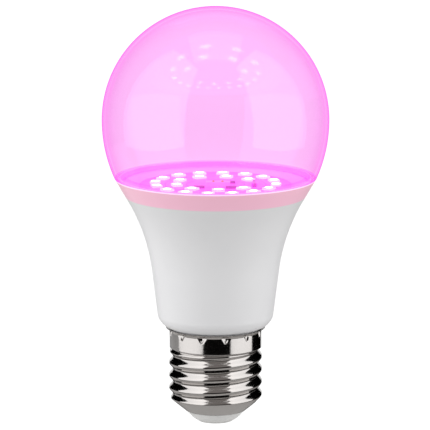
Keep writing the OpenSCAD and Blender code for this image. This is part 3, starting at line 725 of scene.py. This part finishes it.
painted("radio_board", circuit_board("lit_board", (0.30, 0.16, 0.28), (0.42, 0.24, 0.40), LIT))
painted("fuse_resistor", moulded("resistor_coat", (0.14, 0.28, 0.20), (0.20, 0.36, 0.27), 0.5, 0.4, 0.03))
painted("surge_absorber", moulded("blue_coat", (0.01, 0.05, 0.28), (0.02, 0.08, 0.36), 0.25, 1.2, 0.04))
painted("film_capacitor", moulded("red_box", (0.30, 0.03, 0.02), (0.38, 0.05, 0.04), 0.4, 0.6, 0.02))
painted("bulk_capacitor_seal output_capacitor_seal",
    moulded("rubber", (0.012, 0.012, 0.012), (0.03, 0.03, 0.03), 0.75, 0.5, 0.02))
painted("bulk_capacitor_sleeve", shrunk_film("green_film", (0.01, 0.06, 0.03), (0.55, 0.62, 0.55), 1.2))
painted("output_capacitor_sleeve", shrunk_film("blue_film", (0.012, 0.02, 0.10), (0.5, 0.55, 0.68), -2.7))
painted("rectifier control_chip driver_chip_parts", black_epoxy)
painted("chip_leads component_leads", tinned)
painted("choke_core transformer_core", ferrite)
painted("choke_winding", winding("choke_wire", "Y", 0.35, (0.16, 0.05, 0.02), (0.62, 0.26, 0.10)))
painted("transformer_winding", winding("transformer_wire", "Z", 0.28, (0.16, 0.05, 0.02), (0.62, 0.26, 0.10)))
painted("transformer_bobbin", moulded("black_plastic", (0.012, 0.012, 0.012), (0.03, 0.03, 0.03), 0.4, 0.6))
painted("transformer_tape", moulded("yellow_tape", (0.62, 0.42, 0.05), (0.72, 0.50, 0.08), 0.3, 1.5, 0.02))
painted("radio_shield", metal("shield_can", (0.58, 0.56, 0.52), (0.70, 0.68, 0.64), 0.25, 0.5))
painted("antenna_trace", metal("copper_trace", (0.55, 0.25, 0.14), (0.70, 0.36, 0.20), 0.3, 0.3, glow=LIT))

# %% [markdown]
# ## Studio
# Two tall soft lamps stand at the left and right, with darkness between them behind the camera. That gap is
# what gives bright metal its black stripe down the middle. Dimmer ones stand behind the bulb, one of them low
# on the left for the collar's grey edge, and one hangs above. The surroundings are white to the eye and give
# soft light. Mirrors see them dark, with a grey haze low down and another high up in front. The pale floor
# lies below the bulb, because a bulb is held by its cap and never stands, and fades out inside its rim.

# %% Lamps, surroundings and floor
def soft_lamp(name, place, turn, size, brightness):
    """A rectangle of light, shining along its own -Z. Brightness is what an eye or a mirror sees."""
    data = bpy.data.lights.new(name, "AREA")
    data.shape, data.size, data.size_y = "RECTANGLE", *size
    data.energy = brightness * math.pi * size[0] * size[1]
    lamp = bpy.data.objects.new(name, data)
    bpy.context.scene.collection.objects.link(lamp)
    lamp.location, lamp.rotation_euler, lamp.visible_camera = place, turn, False
    print(f"{name}: {data.energy:.1f} W")


def upright_lamp(name, azimuth, distance, width, low, high, brightness):
    """A lamp that faces the axis. Azimuth is from the camera's side (-Y), positive to +X."""
    a = math.radians(azimuth)
    soft_lamp(name, (distance * math.sin(a), -distance * math.cos(a), (low + high) / 2), (math.pi / 2, 0, a),
        (width, high - low), brightness)


upright_lamp("right_lamp", 70.5, 0.8, 1.02, -0.2, 1.7, 1.6)
upright_lamp("left_lamp", -68, 0.8, 1.2, -0.2, 1.7, 1.6)
upright_lamp("left_back_lamp", -128, 0.9, 0.75, -0.6, -0.16, 0.5)
upright_lamp("back_lamp", 180, 0.9, 0.8, -0.2, 1.0, 0.9)
soft_lamp("top_lamp", (0, 0, 1.4), (0, 0, 0), (0.9, 0.9), 1.0)

world = bpy.data.worlds.new("surroundings")
bpy.context.scene.world = world
world.use_nodes = True
around = Nodes(world.node_tree)
ray = around.node("ShaderNodeLightPath").outputs
seen, soft, mirrored = (Value(around, ray[f"Is {kind} Ray"]) for kind in ("Camera", "Diffuse", "Glossy"))
outward = around.node("ShaderNodeTexCoord").outputs["Generated"]
direction = around.node("ShaderNodeSeparateXYZ", {}, {0: outward})
height = Value(around, direction.outputs["Z"])
ahead = 1 - Value(around, direction.outputs["Y"]).step(-0.5, 0.1)
below = (1 - height.step(-0.6, -0.22)) * (0.6 + 0.4 * ahead)
haze = around.mix(below, (0, 0, 0), (0.46, 0.43, 0.41))
haze = around.mix(height.step(0.15, 0.6) * ahead, haze, (0.28, 0.26, 0.25))
background = around.node("ShaderNodeBackground", {}, {"Color": around.mix(mirrored, (1, 1, 1), haze),
    "Strength": seen * 1.12 + soft * 0.33 + mirrored})
around.link(background.outputs[0], around.node("ShaderNodeOutputWorld").inputs["Surface"])

FLOOR_Z, FLOOR_R = -150, 620
rings_out = np.array([0, 40, 120, 240, 400, FLOOR_R], float)
a = np.linspace(0, 2 * np.pi, 96, endpoint=False)
floor_points = np.stack([rings_out[:, None] * np.cos(a), rings_out[:, None] * np.sin(a),
    np.full((len(rings_out), 96), FLOOR_Z)], axis=-1)
points, faces = closed_grid(floor_points, wrap_rows=False)
mesh = bpy.data.meshes.new("floor")
mesh.from_pydata((points * MM).tolist(), [], faces)
finish = Finish("pale_floor", Roughness=0.9)
finish.feed(Base_Color=finish.mix(finish.noise(60, 2), (0.55, 0.545, 0.535), (0.59, 0.58, 0.57)),
    Alpha=1 - finish.radius().step(60, FLOOR_R * 0.75))
mesh.materials.append(finish.material)
floor = bpy.data.objects.new("floor", mesh)
bpy.context.scene.collection.objects.link(floor)

scene = bpy.context.scene
scene.view_settings.view_transform = "Standard"
scene.cycles.transparent_max_bounces = 32
